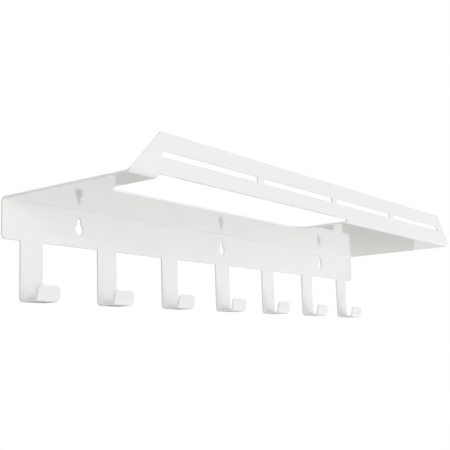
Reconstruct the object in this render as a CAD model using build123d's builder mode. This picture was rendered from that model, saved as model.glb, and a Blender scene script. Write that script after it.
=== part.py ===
"""Wall hook rack: a sheet of steel cut to outline and folded into a wall plate, a shelf with
a raised front lip, and a row of hooks.

The frame of the part: +X runs along the wall to the right, +Y goes into the wall and +Z is up.
The origin is on the wall, at the centre of the middle hanging hole. Lengths are in millimetres.
The sheet is divided at its fold lines and at the hook roots, and each division is a plain flat
face, so that the pieces lie against each other as the unbroken sheet does.
"""
import os
from math import atan2, cos, degrees, radians, sin, tan

from build123d import *

# ---- Sheet ------------------------------------------------------------------------------------
sheet = 2.0                 # thickness of the steel
fold_radius = 3.0           # inside radius of every fold

# ---- Back plate -------------------------------------------------------------------------------
length = 700.0              # overall length along the wall
plate_height = 40.5         # bottom edge of the plate to the top of the shelf
plate_corner = 5.0          # radius of the two bottom corners

# ---- Hanging holes: a round end for the screw head and a narrow neck above it ------------------
hole_count = 3
hole_pitch = 250.0
hole_height = 19.0          # centre of the round end above the bottom edge
hole_head_radius = 5.75     # lets a screw head of up to 11 mm through
hole_neck = 6.0             # width of the neck, for a screw shank of 5 mm
hole_neck_rise = 11.8       # top of the neck above the centre of the round end
hole_blend = 2.0            # radius where the neck runs into the round end

# ---- Shelf ------------------------------------------------------------------------------------
shelf_depth = 168.0         # wall to the sharp corner under the front lip
cutout_from_left = 36.5     # left end of the shelf to the cut-out
cutout_length = 345.0
cutout_from_wall = 100.0    # the cut-out runs from here to the front, through the fold
cutout_corner = 20.0        # radius of its two rear corners

# ---- Front lip: heights run up its outer face from the sharp corner under it -------------------
lip_height = 42.0
lip_lean = 2.0              # degrees that the lip leans away from the wall
lip_taper = 38.0            # how far the lip's slanted ends run in, from bottom to top
lip_end_rise = 2.9          # where the slant starts
cutout_rise = 3.9           # lower edge of the lip along the cut-out
slot_rise = 19.5            # lower edge of the slots
slot_height = 6.0
slot_end_margin = 22.0      # from the lip's slanted end to the end of the slots
bridge_count = 3            # webs that part the band of slots
bridge_pitch = 154.0
bridge_width = 10.3

# ---- Hooks ------------------------------------------------------------------------------------
hook_count = 7
hook_width = 28.0
hook_end_margin = 22.5      # end of the plate to the nearest hook
hook_drop = 60.0            # bottom edge of the plate to the underside of the hooks
hook_depth = 26.5           # wall to the outer face of the turned-up end, at its foot
hook_rise = 15.0            # underside of a hook to the top of its turned-up end
hook_lean = 8.0             # degrees that the turned-up end leans away from the wall
hook_corner = 5.0           # radius of the top corners of the turned-up end
root_radius = 1.0           # relief in the corners where a hook leaves the plate

# ---- Places that follow from the sizes --------------------------------------------------------
fold_middle = fold_radius + sheet / 2                           # radius of a fold's centre line
fold_outer = fold_radius + sheet
plate_bottom = -hole_height
shelf_top = plate_bottom + plate_height
shelf_underside = shelf_top - sheet
shelf_rear = -fold_outer                                        # where the rear fold ends

lip_turn = 90.0 - lip_lean                                      # angle of the front fold
shelf_front = fold_outer * tan(radians(lip_turn / 2)) - shelf_depth
lip_plane = Plane(origin=(0, -shelf_depth, shelf_underside), x_dir=(1, 0, 0),
                  z_dir=(0, -cos(radians(lip_lean)), -sin(radians(lip_lean))))
lip_end_angle = degrees(atan2(lip_height - lip_end_rise, lip_taper))

cutout_left = -length / 2 + cutout_from_left
cutout_middle = cutout_left + cutout_length / 2

hook_pitch = (length - 2 * hook_end_margin - hook_width) / (hook_count - 1)
hook_root = plate_bottom - 2 * root_radius                      # hooks start below their relief
hook_bottom = plate_bottom - hook_drop

os.makedirs("parts", exist_ok=True)


# ---- Back plate: the flat part, the rear fold and the three hanging holes ----------------------
with BuildPart() as back_plate:
    with BuildSketch(Plane.XZ) as plate_outline:
        with Locations((0, plate_bottom)):
            Rectangle(length, plate_height - fold_outer, align=(Align.CENTER, Align.MIN))
        with Locations((0, hook_root)):
            with GridLocations(hook_pitch, 0, hook_count, 1):
                Rectangle(hook_width, 3 * root_radius, align=(Align.CENTER, Align.MIN))
        hook_corners = plate_outline.vertices().group_by(Axis.Y)[1].sort_by(Axis.X)[1:-1]
        fillet(hook_corners, root_radius)
        bottom_edge = plate_outline.vertices().filter_by_position(Axis.Y, plate_bottom, plate_bottom)
        fillet([bottom_edge.sort_by(Axis.X)[0], bottom_edge.sort_by(Axis.X)[-1]], plate_corner)
    extrude(amount=sheet)
    fold_axis = Axis((0, shelf_rear, shelf_top - fold_outer), (1, 0, 0))
    revolve(back_plate.faces().sort_by(Axis.Z)[-1], axis=fold_axis, revolution_arc=90)
    with BuildSketch(Plane.XZ) as hanging_holes:
        with GridLocations(hole_pitch, 0, hole_count, 1):
            Circle(hole_head_radius)
            Rectangle(hole_neck, hole_neck_rise - hole_neck / 2, align=(Align.CENTER, Align.MIN))
            with Locations((0, hole_neck_rise - hole_neck / 2)):
                Circle(hole_neck / 2)
        neck_corners = hanging_holes.vertices().filter_by_position(Axis.Y, hole_neck / 2, hole_head_radius)
        fillet(neck_corners, hole_blend)
    extrude(amount=sheet, mode=Mode.SUBTRACT)
back_plate.part.label = "back_plate"
export_step(back_plate.part, "parts/back_plate.step")


# ---- Shelf: flat, with a cut-out that is open to the front -------------------------------------
with BuildPart() as shelf_panel:
    with BuildSketch(Plane.XY.offset(shelf_underside)) as shelf_outline:
        with Locations((0, shelf_rear)):
            Rectangle(length, shelf_rear - shelf_front, align=(Align.CENTER, Align.MAX))
        with Locations((cutout_middle, -cutout_from_wall)):
            Rectangle(cutout_length, -cutout_from_wall - shelf_front, align=(Align.CENTER, Align.MAX),
                      mode=Mode.SUBTRACT)
        fillet(shelf_outline.vertices().group_by(Axis.Y)[1], cutout_corner)
    extrude(amount=sheet)
shelf_panel.part.label = "shelf_panel"
export_step(shelf_panel.part, "parts/shelf_panel.step")


# ---- Front lip: the front fold and a strip above it, cut to a slotted outline ------------------
with BuildPart() as front_lip:
    with BuildSketch(Plane.YZ.offset(-length / 2)):
        with BuildLine():
            fold_start = (shelf_front, shelf_top - sheet / 2)
            fold = JernArc(fold_start, (-1, 0), radius=fold_middle, arc_size=-lip_turn)
            Line(fold @ 1, fold @ 1 + (fold % 1) * lip_height)
        trace(line_width=sheet)
    extrude(amount=length)
    with BuildSketch(lip_plane) as lip_outline:
        Rectangle(length, 2 * lip_end_rise)
        with Locations((0, lip_end_rise)):
            Trapezoid(length, lip_height - lip_end_rise, lip_end_angle, align=(Align.CENTER, Align.MIN))
        with Locations((cutout_middle, 0)):
            Rectangle(cutout_length, 2 * cutout_rise, mode=Mode.SUBTRACT)
        slot_band = length - 2 * (slot_end_margin + (slot_rise - lip_end_rise) / tan(radians(lip_end_angle)))
        with Locations((0, slot_rise)):
            Trapezoid(slot_band, slot_height, lip_end_angle, align=(Align.CENTER, Align.MIN),
                      mode=Mode.SUBTRACT)
            with GridLocations(bridge_pitch, 0, bridge_count, 1):
                Rectangle(bridge_width, slot_height, align=(Align.CENTER, Align.MIN))
    extrude(amount=2 * fold_outer, both=True, mode=Mode.INTERSECT)
front_lip.part.label = "front_lip"
export_step(front_lip.part, "parts/front_lip.step")


# ---- Hooks: a strip that folds forward, runs level and turns up --------------------------------
hook_floor = hook_depth - 2 * fold_outer                        # level run between the folds
tab_foot = hook_bottom + fold_outer * (1 - sin(radians(hook_lean)))
tab_height = (hook_bottom + hook_rise - tab_foot) / cos(radians(hook_lean))
tab_thickness_axis = Axis((0, 0, 0), (0, cos(radians(hook_lean)), sin(radians(hook_lean))))
for number in range(1, hook_count + 1):
    hook_left = -length / 2 + hook_end_margin + (number - 1) * hook_pitch
    with BuildPart() as hook:
        with BuildSketch(Plane.YZ.offset(hook_left)):
            with BuildLine():
                strip = Line((-sheet / 2, hook_root), (-sheet / 2, hook_bottom + fold_outer))
                heel = JernArc(strip @ 1, strip % 1, radius=fold_middle, arc_size=-90)
                floor = Line(heel @ 1, heel @ 1 + (heel % 1) * hook_floor)
                toe = JernArc(floor @ 1, floor % 1, radius=fold_middle, arc_size=hook_lean - 90)
                Line(toe @ 1, toe @ 1 + (toe % 1) * tab_height)
            trace(line_width=sheet)
        extrude(amount=hook_width)
        fillet(hook.edges().filter_by(tab_thickness_axis), hook_corner)
    hook.part.label = f"hook_{number}"
    export_step(hook.part, f"parts/hook_{number}.step")
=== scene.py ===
"""Wall hook rack: one folded steel sheet in glossy white powder coat, hung over a pale floor.

The CAD solids are the whole object. This script gives them their coat, and adds the floor, the
studio light and the camera. Places are in metres, in the frame of the part: +X runs along the
wall to the right, +Y goes into the wall and +Z is up.
"""
import math

import bpy
from mathutils import Matrix, Vector


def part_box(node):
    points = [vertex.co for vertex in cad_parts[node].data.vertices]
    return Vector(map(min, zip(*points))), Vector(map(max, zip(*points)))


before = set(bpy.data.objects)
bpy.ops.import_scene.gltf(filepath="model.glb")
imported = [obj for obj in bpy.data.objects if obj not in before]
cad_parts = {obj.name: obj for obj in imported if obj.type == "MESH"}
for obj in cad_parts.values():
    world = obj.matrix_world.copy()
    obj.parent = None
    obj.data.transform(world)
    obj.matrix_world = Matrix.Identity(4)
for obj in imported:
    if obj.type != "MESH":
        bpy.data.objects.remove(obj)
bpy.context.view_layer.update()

MM = 0.001                          # one millimetre


# ---- Small helpers ----------------------------------------------------------------------------
def linear(code):
    """An sRGB hex colour as the linear red, green, blue and alpha that the shaders work in."""
    channels = [int(code[i:i + 2], 16) / 255 for i in (0, 2, 4)]
    return [c / 12.92 if c <= 0.04045 else ((c + 0.055) / 1.055) ** 2.4 for c in channels] + [1.0]


def add_node(tree, kind, inputs=None, **settings):
    """Adds a node to a tree. Each input is given a value, or the output that feeds it."""
    node = tree.nodes.new(kind)
    for name, value in settings.items():
        setattr(node, name, value)
    for name, value in (inputs or {}).items():
        if isinstance(value, bpy.types.NodeSocket):
            tree.links.new(value, node.inputs[name])
        else:
            node.inputs[name].default_value = value
    return node


def new_material(name):
    """An empty material and its node tree."""
    material = bpy.data.materials.new(name)
    material.use_nodes = True
    material.node_tree.nodes.clear()
    return material, material.node_tree


# ---- Finish -----------------------------------------------------------------------------------
edge_radius = 0.5 * MM              # the coat rounds the cut edges by about this much
seam_reach = 0.7 * MM               # a little more than that, to both sides of a seam
peel_size, peel_height = 3 * MM, 0.02 * MM
swell_size, swell_height = 14 * MM, 0.04 * MM
film_size = 90 * MM                 # from one thicker place of the film to the next


def softened_edges(tree, place):
    """The normal of the sheet with its cut edges rounded by half a millimetre. The sheet runs on
    unbroken where the solids meet, so the edges of the solids are left out there."""
    plain = add_node(tree, "ShaderNodeNewGeometry").outputs["Normal"]
    rounded = add_node(tree, "ShaderNodeBevel", {"Radius": edge_radius}, samples=6).outputs["Normal"]
    axes = add_node(tree, "ShaderNodeSeparateXYZ", {"Vector": place}).outputs
    seams = [(axes["Y"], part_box("shelf_panel")[0].y), (axes["Y"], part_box("shelf_panel")[1].y),
             (axes["Z"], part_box("hook_1")[1].z)]
    at_seam = 0.0
    for along, level in seams:
        near = add_node(tree, "ShaderNodeMath", {0: along, 1: level, 2: seam_reach}, operation="COMPARE")
        at_seam = add_node(tree, "ShaderNodeMath", {0: near.outputs[0], 1: at_seam},
                           operation="MAXIMUM").outputs[0]
    return add_node(tree, "ShaderNodeMix", {"Factor": at_seam, "A": rounded, "B": plain},
                    data_type="VECTOR").outputs["Result"]


def gloss_powder_coat():
    """Polyester powder sprayed on steel and baked: a film of about 0.1 mm that flows out to a high
    gloss. It stays a little wavy, as orange peel, and its white is a shade warm."""
    material, tree = new_material("gloss_powder_coat")
    place = add_node(tree, "ShaderNodeTexCoord").outputs["Object"]

    # Orange peel: shallow bumps about 3 mm across on slower swells of about 14 mm.
    peel = add_node(tree, "ShaderNodeTexNoise", {"Vector": place, "Scale": 1 / peel_size, "Detail": 1.0,
                                                 "Roughness": 0.4})
    swell = add_node(tree, "ShaderNodeTexNoise", {"Vector": place, "Scale": 1 / swell_size, "Detail": 0.0})
    peel_bump = add_node(tree, "ShaderNodeBump", {"Height": peel.outputs["Fac"], "Strength": 0.1,
                                                  "Distance": peel_height,
                                                  "Normal": softened_edges(tree, place)})
    bump = add_node(tree, "ShaderNodeBump", {"Height": swell.outputs["Fac"], "Strength": 0.1,
                                             "Distance": swell_height,
                                             "Normal": peel_bump.outputs["Normal"]})

    # The film is a little thicker in some places than in others, about a hand's breadth apart.
    film = add_node(tree, "ShaderNodeTexNoise", {"Vector": place, "Scale": 1 / film_size, "Detail": 2.0})
    white = add_node(tree, "ShaderNodeMix", {"Factor": film.outputs["Fac"], "A": linear("F3F3F2"),
                                             "B": linear("F5F5F4")}, data_type="RGBA")
    haze = add_node(tree, "ShaderNodeMapRange", {"Value": film.outputs["Fac"], "To Min": 0.02,
                                                 "To Max": 0.035})

    coat = add_node(tree, "ShaderNodeBsdfPrincipled", {"Base Color": white.outputs["Result"],
                                                       "Roughness": haze.outputs["Result"], "IOR": 1.5,
                                                       "Normal": bump.outputs["Normal"]})
    add_node(tree, "ShaderNodeOutputMaterial", {"Surface": coat.outputs["BSDF"]})
    return material


# ---- The rack ---------------------------------------------------------------------------------
coat = gloss_powder_coat()
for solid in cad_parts.values():
    for slot in solid.material_slots:
        slot.material = coat


# ---- Floor ------------------------------------------------------------------------------------
floor_height = -1.5                 # the rack hangs at about the height of a coat hook
floor_size = 16
floor_mottle = 400 * MM             # size of the faint clouds in the paint
floor_glow = 0.3                    # white that the eye sees on top of what the light gives
floor_fade = 1.2, 3.5               # from the middle: where the paint turns to white, and has turned


def white_when_seen(tree):
    """1 for what the camera, a gloss or a clear piece sees, and 0 for the light that falls on matt
    surfaces, so that the studio can look plain white without lighting the rack any more."""
    path = add_node(tree, "ShaderNodeLightPath").outputs
    seen = add_node(tree, "ShaderNodeMath", {0: path["Is Camera Ray"], 1: path["Is Glossy Ray"]},
                    operation="MAXIMUM")
    seen = add_node(tree, "ShaderNodeMath", {0: seen.outputs[0], 1: path["Is Transmission Ray"]},
                    operation="MAXIMUM")
    return seen.outputs[0]


def pale_floor():
    """Matt pale paint. It takes the rack's shadow near the middle, and runs out to plain white."""
    material, tree = new_material("pale_floor")
    place = add_node(tree, "ShaderNodeTexCoord").outputs["Object"]
    mottle = add_node(tree, "ShaderNodeTexNoise", {"Vector": place, "Scale": 1 / floor_mottle,
                                                   "Detail": 3.0})
    tone = add_node(tree, "ShaderNodeMix", {"Factor": mottle.outputs["Fac"], "A": linear("E0E0DE"),
                                            "B": linear("E4E4E2")}, data_type="RGBA")
    paint = add_node(tree, "ShaderNodeBsdfDiffuse", {"Color": tone.outputs["Result"]})
    seen = white_when_seen(tree)
    lift = add_node(tree, "ShaderNodeMath", {0: seen, 1: floor_glow}, operation="MULTIPLY")
    glow = add_node(tree, "ShaderNodeEmission", {"Strength": lift.outputs[0]})
    near = add_node(tree, "ShaderNodeAddShader", {0: paint.outputs[0], 1: glow.outputs[0]})

    reach = add_node(tree, "ShaderNodeVectorMath", {0: place}, operation="LENGTH")
    away = add_node(tree, "ShaderNodeMapRange", {"Value": reach.outputs["Value"],
                                                 "From Min": floor_fade[0], "From Max": floor_fade[1]},
                    interpolation_type="SMOOTHSTEP")
    fade = add_node(tree, "ShaderNodeMath", {0: seen, 1: away.outputs["Result"]}, operation="MULTIPLY")
    white = add_node(tree, "ShaderNodeEmission", {"Strength": 1.0})
    surface = add_node(tree, "ShaderNodeMixShader", {0: fade.outputs[0], 1: near.outputs[0],
                                                     2: white.outputs[0]})
    add_node(tree, "ShaderNodeOutputMaterial", {"Surface": surface.outputs[0]})
    return material


bpy.ops.object.select_all(action="DESELECT")
bpy.ops.mesh.primitive_plane_add(size=floor_size, location=(0, 0, floor_height))
floor = bpy.context.object
floor.name = "floor"
floor.data.materials.append(pale_floor())


# ---- Cards ------------------------------------------------------------------------------------
card_foot, card_top = -1.45, -0.05
# Where a card's tones turn, from its middle, as shares of its width for the first two and of its
# height for the last.
low_turn = 0.02, 0.08
high_turn = 0.05, 0.3
rise_turn = 0.268, 0.321


def painted_reflection_card(name, left, low_right, high_right):
    """Card that only the gloss sees. It glows with its own tones and no lamp lights it, so what the gloss
    shows of it is a painted reflection. It shades from its left tone to its right one, and sooner in its
    lower part than in its upper part."""
    material, tree = new_material(name)
    place = add_node(tree, "ShaderNodeTexCoord").outputs["Object"]
    axes = add_node(tree, "ShaderNodeSeparateXYZ", {"Vector": place}).outputs
    tones = []
    for right, turn in ((low_right, low_turn), (high_right, high_turn)):
        aside = add_node(tree, "ShaderNodeMapRange", {"Value": axes["X"], "From Min": turn[0],
                                                      "From Max": turn[1]})
        tone = add_node(tree, "ShaderNodeMix", {"Factor": aside.outputs["Result"], "A": linear(left),
                                                "B": linear(right)}, data_type="RGBA")
        tones.append(tone.outputs["Result"])
    rise = add_node(tree, "ShaderNodeMapRange", {"Value": axes["Y"], "From Min": rise_turn[0],
                                                 "From Max": rise_turn[1]})
    tone = add_node(tree, "ShaderNodeMix", {"Factor": rise.outputs["Result"], "A": tones[0],
                                            "B": tones[1]}, data_type="RGBA")
    # The card gives out its tone as its own glow. This is painted light, which the lamps play no part in.
    card = add_node(tree, "ShaderNodeEmission", {"Color": tone.outputs["Result"]})
    add_node(tree, "ShaderNodeOutputMaterial", {"Surface": card.outputs[0]})
    return material


def hang_card(material, left, right):
    """An upright card between two places in plan, which only the gloss of the rack sees."""
    left, right = Vector((*left, card_foot)), Vector((*right, card_foot))
    height = card_top - card_foot
    bpy.ops.mesh.primitive_plane_add(size=1, location=(left + right) / 2 + Vector((0, 0, height / 2)))
    card = bpy.context.object
    card.name = material.name
    card.rotation_euler = (math.pi / 2, 0, math.atan2(right.y - left.y, right.x - left.x))
    card.scale = ((right - left).length, height, 1)
    card.data.materials.append(material)
    card.visible_camera = card.visible_diffuse = card.visible_shadow = False


# The dark card stands in for shaded surroundings that the shelf's underside reflects. Its greys are
# painted shade: darkest at its left, and darker towards its right in its lower part than in its upper
# part.
hang_card(painted_reflection_card("painted_shade_card", "8F8C86", "A6A39D", "C6C3BC"), (0.514, 3.125), (2.817, 0.955))
# The pale card beside it glows in one lighter grey, a painted reflection of lighter surroundings.
hang_card(painted_reflection_card("pale_card", "DEDEDC", "DEDEDC", "DEDEDC"), (2.817, 0.955), (3.086, 0.061))


# ---- Light ------------------------------------------------------------------------------------
def softbox(name, size, place, power):
    """A square studio softbox at a place, turned towards the rack."""
    lamp = bpy.data.lights.new(name, "AREA")
    lamp.shape = "SQUARE"
    lamp.size = size
    lamp.energy = power
    box = bpy.data.objects.new(name, lamp)
    bpy.context.scene.collection.objects.link(box)
    box.location = place
    box.rotation_euler = (-Vector(place)).to_track_quat("-Z", "Y").to_euler()
    box.visible_glossy = False          # the white room around the rack is its reflection


softbox("front_left_softbox", 1.8, (-1.8, -1.8, 0.0), 24.3)
softbox("top_softbox", 1.8, (0.0, -0.6, 2.2), 24.8)
softbox("high_left_softbox", 1.4, (-1.2, -0.8, 1.9), 5.1)
softbox("low_right_softbox", 1.1, (1.6, -1.2, -1.0), 20.2)
softbox("back_softbox", 1.8, (0.4, 2.2, 0.4), 27.6)


def studio_world(ambient):
    """Even white surroundings. What the camera or a gloss sees of them is plain white, and what
    they give to the object as light is the ambient level."""
    world = bpy.data.worlds.new("studio")
    world.use_nodes = True
    tree = world.node_tree
    tree.nodes.clear()
    strength = add_node(tree, "ShaderNodeMapRange", {"Value": white_when_seen(tree), "To Min": ambient,
                                                     "To Max": 1.0})
    light = add_node(tree, "ShaderNodeBackground", {"Color": (1, 1, 1, 1),
                                                    "Strength": strength.outputs["Result"]})
    add_node(tree, "ShaderNodeOutputWorld", {"Surface": light.outputs[0]})
    bpy.context.scene.world = world


studio_world(ambient=0.34)


# ---- Camera -----------------------------------------------------------------------------------
def add_camera(place, heading, tilt, roll, lens):
    """Heading is measured from +Y towards +X and tilt upwards from level, in degrees."""
    data = bpy.data.cameras.new("camera")
    data.sensor_width = 36
    data.lens = lens
    camera = bpy.data.objects.new("camera", data)
    bpy.context.scene.collection.objects.link(camera)
    turn = Matrix.Rotation(math.radians(-heading), 4, "Z")
    turn @= Matrix.Rotation(math.radians(90 + tilt), 4, "X")
    turn @= Matrix.Rotation(math.radians(roll), 4, "Z")
    camera.matrix_world = Matrix.Translation(place) @ turn
    bpy.context.scene.camera = camera


add_camera(place=(-0.8537, -0.63385, -0.13999), heading=53.749, tilt=9.253, roll=-1.782, lens=66.577)
bpy.context.scene.view_settings.view_transform = "Standard"
